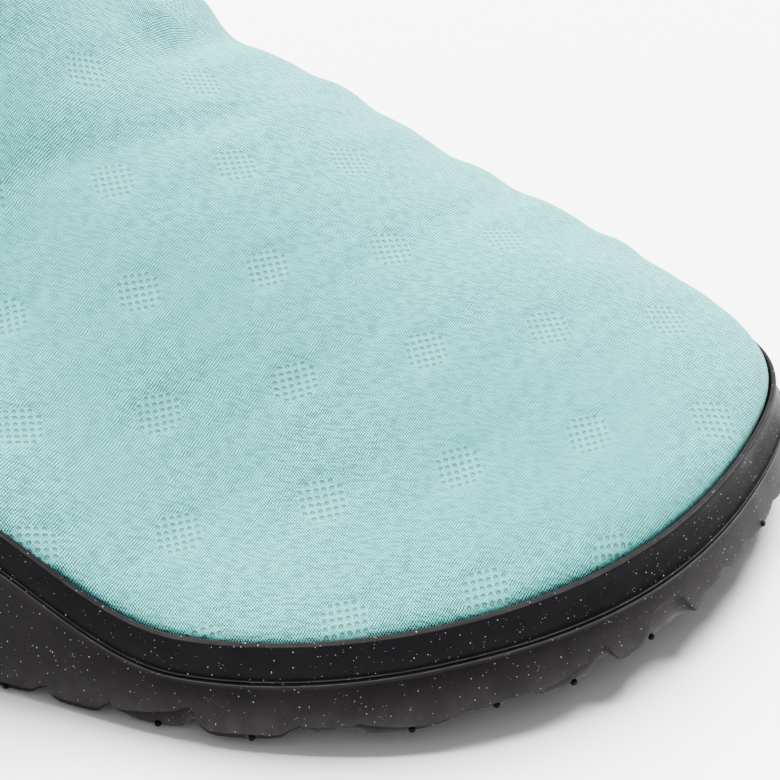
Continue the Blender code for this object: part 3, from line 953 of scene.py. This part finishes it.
def ridge_across(x):
    """Lattice steps of the ridge from the middle row of spots."""
    return (along(LAST_SECTIONS, "ridge_y", x) - SPOT_Y) / ACROSS_STEP


WALL_TOTAL = {side: upper_line(COLLAR_FRONT, side * math.pi / 2.0).total for side in (-1, 1)}
WALL_START = {side: ridge_across(COLLAR_FRONT) + side * WALL_TOTAL[side] / ACROSS_STEP for side in (-1, 1)}
HEEL_SHIFT = -math.remainder(WALL_START[-1] + WALL_START[1], 2.0)


def lattice_line(line, side):
    """Places of a line's points on the lattice, in steps between spots."""
    x, bearing = line[:2]
    down = line.total - line.up
    go = np.full(len(down), ridge_steps(x))
    across = ridge_across(x) + side * abs(math.sin(bearing)) * down / ACROSS_STEP
    flat_x, flat_y = line.points[:, :2].T
    flat = (flat_y - SPOT_Y) / ACROSS_STEP / (1.0 + TOE_SPREAD * np.maximum(flat_x - TOE_CENTRE, 0.0))
    if x < COLLAR_FRONT:
        across = WALL_START[side] - side * line.up / ACROSS_STEP
        if side < 0:
            across = across + HEEL_SHIFT * smooth((COLLAR_FRONT - x) / HEEL_SHIFT_RUN)
    else:
        unrolled = 1.0 if side > 0 else smooth((UNROLL_FRONT - x) / UNROLL_RUN)
        if x >= TOE_CENTRE:
            go = (flat_x - SPOT_X) / ALONG_STEP
            unrolled = smooth((math.degrees(bearing) - TOE_UNROLL_START) / TOE_UNROLL_RUN)
        across = flat + (across - flat) * unrolled
    if x == HEEL_CENTRE:
        turned = abs(math.remainder(bearing - side * math.pi / 2.0, 2.0 * math.pi))
        go = go - turned * HEEL_TURN_RADIUS / ALONG_STEP
    outer = OUTER_BEND * np.minimum(across, 0.0) ** 2
    inner = np.maximum(across, 0.0)
    inner = INNER_BEND * inner ** 2 / (1.0 + (inner / INNER_BEND_LIMIT) ** 2)
    go = go + (outer + inner) / ALONG_STEP * smooth((x - BEND_BACK) / BEND_RUN)
    for pull in PULLS:
        share = np.exp(-((flat_x - pull.x) / pull.length) ** 2 - ((across - pull.across) / pull.span) ** 2)
        go = go + pull.along * share
        across = across + pull.sideways * share
    return np.column_stack((go, across))


def weave_line(line, side):
    """Places of a line's points on the cloth laid flat."""
    ridge = along(LAST_SECTIONS, "ridge_y", max(line.x, COLLAR_FRONT))
    down = (WALL_TOTAL[side] if line.x < COLLAR_FRONT else line.total) - line.up
    go = ridge_steps(line.x) * ALONG_STEP + down * math.cos(line.bearing)
    return np.column_stack((go, ridge + down * side * abs(math.sin(line.bearing))))


def relief(go, across):
    """Height of the padding over its even surface."""
    first = np.round((go + across) / 2.0)
    second = np.round((go - across) / 2.0)
    slant = math.hypot(1.0, FOLD_TILT)
    far = smooth((across - FAR_START) / FAR_RUN)
    wave = FAR_WAVE * (1.0 - smooth(go - FAR_END))
    height = far * (FAR_LIFT - wave * np.cos(2.0 * math.pi * (go + FAR_PHASE)))
    near = range(-NEAR_SPOTS, NEAR_SPOTS + 1)
    for step_a, step_b in itertools.product(near, near):
        ahead = (go - (first + step_a) - (second + step_b)) * ALONG_STEP
        aside = (across - (first + step_a) + (second + step_b)) * ACROSS_STEP
        off = (ahead - FOLD_TILT * aside) / slant / FOLD_WIDTH
        run = (aside + FOLD_TILT * ahead) / slant / FOLD_REACH
        away = np.hypot(ahead, aside)
        height -= FOLD_DEPTH * np.exp(-(off ** 2) - run ** 2)
        height -= DIMPLE_DEPTH * (1.0 - smooth((away - DIMPLE_FLAT) / DIMPLE_EDGE))
    for crease in CREASES:
        start = np.array((crease.start_along, crease.start_across))
        run = np.array((crease.end_along, crease.end_across)) - start
        place = np.stack((go, across), axis=-1) - start
        share = (place @ run) / (run @ run)
        off = np.abs(place[..., 0] * run[1] - place[..., 1] * run[0]) / math.hypot(*run) * ACROSS_STEP
        ends = smooth(share / CREASE_END) * smooth((1.0 - share) / CREASE_END)
        height -= crease.depth * ends * np.exp(-((off / crease.width) ** 2))
    return height


def padding(line):
    """How far the padding lifts each point of a line."""
    fade = smooth(line.up / RIM_FADE)
    if line.x < COLLAR_FRONT:
        fade = fade * smooth((line.end - line.up) / COLLAR_FADE)
    edge = 1.0 - (1.0 - np.clip(line.up / RIM_PUFF_RISE, 0.0, 1.0)) ** 2
    puff = RIM_PUFF * edge * (1.0 - smooth((line.up - RIM_PUFF_RISE) / RIM_PUFF_RUN))
    return relief(*lattice_line(line, side_of(line.bearing)).T) * fade + puff


def upper_lines():
    """Lines of the upper, once round the shoe from the toe's outer side."""
    quarter = math.pi / 2.0
    starts = [(TOE_CENTRE, bearing) for bearing in np.linspace(-quarter, quarter, TOE_LINES + 1)]
    vamp = np.linspace(TOE_CENTRE, COLLAR_FRONT, VAMP_LINES + 1)[1:]
    back = np.linspace(0.0, 1.0, COLLAR_LINES + 1)[1:] ** COLLAR_CROWDING
    walls = COLLAR_FRONT - (COLLAR_FRONT - HEEL_CENTRE) * back
    walls[-1] = HEEL_CENTRE
    sides = np.concatenate((vamp, walls))
    starts += [(x, quarter) for x in sides]
    heel = np.linspace(quarter, 3.0 * quarter, HEEL_LINES + 1)[1:-1]
    starts += [(HEEL_CENTRE, bearing) for bearing in heel]
    starts += [(x, -quarter) for x in sides[::-1]]
    return [upper_line(*start) for start in starts]


def number_points(lines):
    """Points of all lines and the numbers of each line's own. Lines that meet on the ridge share one."""
    points = []
    numbers = []
    ridge = {}
    for line in lines:
        added = list(line.points)
        own = list(range(len(points), len(points) + len(added)))
        if line.x in ridge:
            own[-1] = ridge[line.x]
            added.pop()
        elif line.x >= COLLAR_FRONT:
            ridge[line.x] = own[-1]
        points += added
        numbers.append(own)
    return np.array(points), numbers


def cloth_strips(lines, numbers):
    """Faces between the lines, and the places of their corners on the lattice and the cloth."""
    faces = []
    spots = []
    threads = []
    for n, line in enumerate(lines):
        after = (n + 1) % len(lines)
        pair = (line, lines[after])
        side = side_of((pair[0].bearing + pair[1].bearing) / 2.0)
        lattice = [lattice_line(part, side) for part in pair]
        woven = [weave_line(part, side) for part in pair]
        own = (numbers[n], numbers[after])
        for row in range(len(line.up) - 1):
            corners = {}
            for end, step in ((0, row), (1, row), (1, row + 1), (0, row + 1)):
                corners.setdefault(own[end][step], (end, step))
            faces.append(tuple(corners))
            spots += [lattice[end][step] for end, step in corners.values()]
            threads += [woven[end][step] for end, step in corners.values()]
    return faces, np.array(spots), np.array(threads)


def point_normals(points, faces):
    """Outward normal at each point of a mesh."""
    base = bpy.data.meshes.new("upper_base")
    base.from_pydata(points.tolist(), [], faces)
    normals = np.zeros(len(points) * 3)
    base.vertex_normals.foreach_get("vector", normals)
    bpy.data.meshes.remove(base)
    return normals.reshape(-1, 3)


def hem_points(out, into, ahead):
    """Points of the rolled collar edge at one line."""
    up_way = np.cross(out - into, ahead)
    up_way = up_way * np.sign(up_way[2]) / np.linalg.norm(up_way)
    points = []
    for step in range(1, HEM_ROWS + 1):
        angle = math.pi * step / (HEM_ROWS + 1)
        turned = (out + into) / 2.0 + (out - into) / 2.0 * math.cos(angle)
        points.append(turned + up_way * math.sin(angle) * UPPER_WALL / 2.0)
    return points


def lining_faces(lines, numbers, lining, hem):
    """Faces of the lining, of the edge under the band and of the rolled collar."""
    faces = []
    for n, own in enumerate(numbers):
        after = numbers[(n + 1) % len(numbers)]
        for low, high in zip(LINING_ROWS, LINING_ROWS[1:]):
            corners = (own[low], own[high], after[high], after[low])
            faces.append(tuple(dict.fromkeys(lining[corner] for corner in corners)))
        faces.append((own[0], lining[own[0]], lining[after[0]], after[0]))
        tops = (own[-1], after[-1])
        if lines[n].x <= COLLAR_FRONT and tops[0] != tops[1] and all(top in hem for top in tops):
            left, right = [[top] + hem[top] + [lining[top]] for top in tops]
            for step in range(HEM_ROWS + 1):
                faces.append((left[step], right[step], right[step + 1], left[step + 1]))
    return faces


def add_map(mesh, name, places, rest):
    """UV map with the places of the mesh's first corners, and one value for the rest."""
    spots = np.full((len(mesh.loops), 2), rest)
    spots[: len(places)] = places
    mesh.uv_layers.new(name=name).data.foreach_set("uv", spots.ravel())


def upper():
    """Padded shell with its dimples, turned over at the collar onto the lining."""
    lines = upper_lines()
    points, numbers = number_points(lines)
    faces, spots, threads = cloth_strips(lines, numbers)
    outer_faces = len(faces)
    normals = point_normals(points, faces)
    lifted = points.copy()
    for line, own in zip(lines, numbers):
        lifted[own] = points[own] + normals[own] * padding(line)[:, None]
    lined = list(dict.fromkeys(own[row] for own in numbers for row in LINING_ROWS))
    lining = {vertex: len(points) + n for n, vertex in enumerate(lined)}
    inner = list(points[lined] - normals[lined] * UPPER_WALL)
    hem = {}
    for n, line in enumerate(lines):
        top = numbers[n][-1]
        if line.x > COLLAR_FRONT or top in hem:
            continue
        ahead = lifted[numbers[n - 1][-1]] - lifted[numbers[(n + 1) % len(lines)][-1]]
        start = len(points) + len(inner)
        hem[top] = list(range(start, start + HEM_ROWS))
        inner += hem_points(lifted[top], inner[lining[top] - len(points)], ahead)
    faces += lining_faces(lines, numbers, lining, hem)
    looks = (fabric_look(), knit_look("mint_lining", *LINING_TONES))
    made = add_mesh("padded_upper", np.vstack((lifted, inner)), faces, looks, SOFT_SHARP_ANGLE)
    go, across = spots.T
    add_map(made.data, "lattice", np.column_stack(((go + across) / 2.0, (go - across) / 2.0)), 0.5)
    add_map(made.data, "weave", threads / WEAVE_SPAN, 0.0)
    kinds = np.arange(len(faces)) >= outer_faces
    made.data.polygons.foreach_set("material_index", kinds.astype(np.int32))
    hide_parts("upper")


def side_band():
    """Smooth band with its lip and the upper of the two fine raised lines."""
    ring = rim_ring(np.linspace(0.0, 1.0, BAND_STATIONS + 1))
    x = ring[:, 0]
    rows = []
    for part in BAND_PROFILE:
        drop = part.share * (BAND_HEIGHT - SEEN_GAP)
        reach = part.reach + part.flare_share * band_flare(x)
        rows.append(ring_row(ring, reach, rim_height(x) - drop))
    faces = [face[::-1] for face in belts(len(rows), len(ring), True)]
    made = add_mesh("smooth_band", np.vstack(rows), faces, (rubber_look(BAND_RUBBER),))
    # Painted highlight on the lip and the raised line, painted light lower down and painted shade at the
    # bottom edge
    paint_light_and_shade(made, np.repeat(column(BAND_PROFILE, "wear"), len(ring)))
    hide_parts("side_band")


def lug_ends():
    """Where the lugs of a side begin and end, as shares of its length."""
    ends = np.cumsum([run.length for run in LUG_ROW])
    ends[-1] = SIDE_STEPS
    return np.concatenate(([0.0], ends)) / SIDE_STEPS


def lug_at(run, share, place):
    """Foot, crease and recess of a lug at a place in it, lifted round the toe."""
    foot, crease, recess = [along(run.lug, name, place) for name in ("foot", "crease", "recess")]
    toe = smooth((TOE_STEPS - share * SIDE_STEPS) / TOE_LIFT_STEPS)
    return foot + TOE_FOOT_LIFT * toe, crease + TOE_CREASE_LIFT * toe, recess


def lug_shape():
    """Stations of one side: share of its length, foot, crease and recess."""
    rows = []
    ends = lug_ends()
    for run, start, end in zip(LUG_ROW, ends, ends[1:]):
        for place in np.arange(LUG_STATIONS) / LUG_STATIONS:
            share = start + (end - start) * place
            rows.append((share, *lug_at(run, share, place)))
    rows.append((1.0, *rows[-1][1:]))
    return np.array(rows)


def wall_reach(x, height):
    """How far the bulging wall stands out from the rim at a height."""
    lean = wall_lean(x)
    first = band_flare(x) + BEAD_PROFILE[-1].reach
    last = EDGE_REACH + LUG_SWELL + lean
    swell = WALL_SWELL * (BELLY_REACH + BELLY_LEAN * lean - (first + last) / 2.0)
    top = bead_height(x) - BEAD_PROFILE[-1].drop
    down = np.clip((top - height) / (top - ground(x) - EDGE_RISE), 0.0, 1.0)
    return first + (last - first) * down + swell * down * (1.0 - down)


def outsole():
    """Tread with its tray, wall, edge lugs and leaves."""
    half = lug_shape()
    ring = rim_ring(half[:, 0])
    foot, crease, recess = np.vstack((half, half[-2:0:-1]))[:, 1:].T
    x = ring[:, 0]
    bead = bead_height(x)
    low = ground(x)
    courses = [(-TRAY_INSET, floor_height(x), 0.0), (-TRAY_INSET, bead, 0.0)]
    courses += [(band_flare(x) + part.reach, bead - part.drop, part.wear) for part in BEAD_PROFILE]
    top = bead - BEAD_PROFILE[-1].drop
    guide = low + GUIDE_RISE
    edge = low + crease
    for start, end, steps in ((top, guide, WALL_ROWS), (guide, edge, GUIDE_ROWS)):
        for step in np.linspace(0.0, 1.0, steps + 1)[1:]:
            height = start + (end - start) * step
            # Painted light on the lower wall, growing towards the tread
            wear = PAINTED_WALL_LIGHT * np.clip(1.0 - (height - low) / WALL_LIGHT_RISE, 0.0, 1.0) ** WALL_LIGHT_FALL
            courses.append((wall_reach(x, height), height, wear))
    face = wall_reach(x, edge) - recess
    # Painted shade in each lug's recess under the crease and painted light down its facet
    for part in FOOT_PROFILE:
        shown = recess / SHADED_RECESS if part.wear < 0.0 else (crease - foot) / FOOT_LIGHT_HEIGHT
        height = low + foot + part.share * (crease - foot)
        courses.append((face - part.inset, height, part.wear * np.clip(shown, 0.0, 1.0)))
    courses.append((EDGE_REACH - LUG_WIDTH, low + np.maximum(foot - LUG_TILT, 0.0), 0.0))
    courses.append((EDGE_REACH - LUG_WIDTH - LUG_FOOT_BATTER, low + LUG_DEPTH, 0.0))
    count = len(ring)
    points = np.vstack([ring_row(ring, reach, height) for reach, height, wear in courses])
    faces = belts(len(courses), count, False)
    faces += [face[::-1] for face in ladder(0, count)] + ladder(len(points) - count, count)
    leaf_points, leaf_faces = leaf_lugs(len(points))
    points = np.vstack((points, leaf_points))
    looks = (rubber_look(OUTSOLE_RUBBER),)
    made = add_mesh("lugged_outsole", points, faces + leaf_faces, looks, TREAD_SHARP_ANGLE)
    painted_rows = [np.broadcast_to(wear, count) for reach, height, wear in courses]
    paint_light_and_shade(made, np.concatenate((*painted_rows, np.zeros(len(leaf_points)))))
    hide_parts("outsole")


def leaf_lugs(first):
    """Leaf-shaped lugs of the tread's middle, numbered from first."""
    points = []
    faces = []
    turn = np.linspace(0.0, 2.0 * math.pi, LEAF_POINTS, endpoint=False)
    across = np.sign(np.sin(turn)) * np.abs(np.sin(turn)) ** LEAF_POINTEDNESS
    leaf = np.column_stack((np.cos(turn) * LEAF_LENGTH / 2.0, across * LEAF_WIDTH / 2.0))
    for number, x in enumerate(np.arange(LEAF_FIRST_X, LEAF_LAST_X, LEAF_STEP_X)):
        low = along(RIM_SECTIONS, "outer", x) + LEAF_MARGIN
        high = along(RIM_SECTIONS, "inner", x) - LEAF_MARGIN
        steps = int((high - low) // LEAF_STEP_Y)
        bottom = ground(x)
        rings = (
            (1.0, bottom + LUG_DEPTH + LEAF_SINK),
            (1.0, bottom + LEAF_ROUND),
            (1.0 - LEAF_ROUND / LEAF_WIDTH, bottom),
        )
        for step in range(steps + 1):
            y = (low + high) / 2.0 + (step - steps / 2.0) * LEAF_STEP_Y
            angle = math.radians(LEAF_TURN if (number + step) % 2 else -LEAF_TURN)
            spin = np.array(((math.cos(angle), math.sin(angle)), (-math.sin(angle), math.cos(angle))))
            faces += capped(first + len(points), len(rings), LEAF_POINTS)
            for shrink, height in rings:
                points += [(*place, height) for place in leaf @ spin * shrink + (x, y)]
    return points, faces


def vent_pips():
    """Small moulding nubs at the feet of the broad lugs."""
    points = []
    faces = []
    turn = np.linspace(0.0, 2.0 * math.pi, PIP_SIDES, endpoint=False)
    ends = lug_ends()
    vents = [row for row in zip(LUG_ROW, ends, ends[1:]) if row[0].vent]
    for inner, (run, start, end) in itertools.product((False, True), vents):
        share = start + (end - start) * PIP_PLACE
        x, y, out_x, out_y = half_rim([share], inner)[0]
        foot, crease, recess = lug_at(run, share, PIP_PLACE)
        reach = wall_reach(x, ground(x) + crease) - recess - PIP_SINK
        middle = np.array((x + out_x * reach, y + out_y * reach, ground(x) + foot + PIP_RISE))
        out = np.array((out_x, out_y, 0.0))
        beside = np.array((-out_y, out_x, 0.0))
        faces += capped(len(points), len(PIP_RINGS), PIP_SIDES)
        spread = np.outer(np.cos(turn), beside) + np.outer(np.sin(turn), (0.0, 0.0, 1.0))
        for size, height in PIP_RINGS:
            points += list(middle + out * height * PIP_HEIGHT + spread * size * PIP_RADIUS)
    # A darker copy of the outsole rubber paints the nubs' shade
    made = add_mesh("vent_pips", points, faces, (rubber_look(SHADED_VENT_RUBBER),), SOFT_SHARP_ANGLE)


def insole():
    """Footbed, cupped towards its edge and higher round the heel."""
    shares = np.linspace(0.0, 1.0, INSOLE_STATIONS + 1)
    sides = [half_rim(shares, inner) for inner in (False, True)]
    across = np.linspace(0.0, 1.0, INSOLE_COLUMNS + 1)
    points = []
    for n in range(INSOLE_STATIONS + 1):
        first, last = [side[n, :2] - side[n, 2:] * INSOLE_INSET for side in sides]
        x = (sides[0][n, 0] + sides[1][n, 0]) / 2.0
        cup = smooth((RAMP_FRONT - x) / (RAMP_FRONT - RAMP_BACK))
        edge = INSOLE_EDGE + (INSOLE_HEEL_EDGE - INSOLE_EDGE) * cup
        near = min(n, INSOLE_STATIONS - n) / INSOLE_STATIONS * INSOLE_RUN
        away = np.minimum(np.minimum(across, 1.0 - across) * np.linalg.norm(last - first), near)
        rim = 1.0 - smooth((away - INSOLE_RIM_WIDTH) / INSOLE_CUP_WIDTH)
        height = INSOLE_BED + (edge - INSOLE_BED) * rim
        height = floor_height(x) + INSOLE_LIFT + height - INSOLE_ROUND * (1.0 - smooth(away))
        points += list(np.column_stack((first + (last - first) * across[:, None], height)))
    wide = INSOLE_COLUMNS + 1
    faces = []
    for n, k in np.ndindex(INSOLE_STATIONS, INSOLE_COLUMNS):
        first = n * wide + k
        faces.append((first, first + 1, first + wide + 1, first + wide))
    edge = [n * wide for n in range(INSOLE_STATIONS + 1)]
    edge += [n * wide + INSOLE_COLUMNS for n in range(INSOLE_STATIONS - 1, 0, -1)]
    bottom = len(points)
    for n, vertex in enumerate(edge):
        x, y = points[vertex][:2]
        points.append((x, y, floor_height(x) + INSOLE_LIFT))
        after = (n + 1) % len(edge)
        faces.append((vertex, edge[after], bottom + after, bottom + n))
    look = knit_look("footbed_cloth", *FOOTBED_TONES)
    made = add_mesh("cupped_insole", points, faces, (look,), SOFT_SHARP_ANGLE)
    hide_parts("insole")


def studio():
    """Camera at the photograph's angle, pale floor and soft light from above and behind."""
    data = bpy.data.cameras.new("camera")
    data.sensor_width = SENSOR
    data.lens = SENSOR * CAMERA_FOCAL_PIXELS / FRAME_PIXELS
    made = show("camera", data)
    made.location = ((np.array(CAMERA_PLACE) + SHIFT) * MM).tolist()
    made.rotation_euler = (math.radians(90.0 - CAMERA_ELEVATION), 0.0, math.radians(CAMERA_AZIMUTH))
    bpy.context.scene.camera = made
    make = Shader("pale_floor")
    make.fill(make.surface, Base_Color=FLOOR_TONE, Roughness=0.9, Specular_IOR_Level=0.1)
    mesh = bpy.data.meshes.new("floor")
    corners = [(x * FLOOR_REACH, y * FLOOR_REACH, 0.0) for x, y in ((-1, -1), (1, -1), (1, 1), (-1, 1))]
    mesh.from_pydata(corners, [], [(0, 1, 2, 3)])
    mesh.materials.append(make.material)
    show("floor", mesh)
    world = bpy.context.scene.world or bpy.data.worlds.new("studio")
    bpy.context.scene.world = world
    world.use_nodes = True
    sky = world.node_tree.nodes["Background"]
    sky.inputs[0].default_value = (1.0, 1.0, 1.0, 1.0)
    sky.inputs[1].default_value = SKY_STRENGTH
    lamp = bpy.data.lights.new("key", "AREA")
    lamp.size = KEY_SIZE
    lamp.energy = KEY_POWER
    made = show("key", lamp)
    made.location = KEY_PLACE
    aim = np.array(KEY_AIM) - np.array(KEY_PLACE)
    flat = math.hypot(*aim[:2])
    made.rotation_euler = (math.atan2(flat, -aim[2]), 0.0, math.atan2(-aim[0], aim[1]))


upper()
side_band()
outsole()
vent_pips()
insole()
studio()
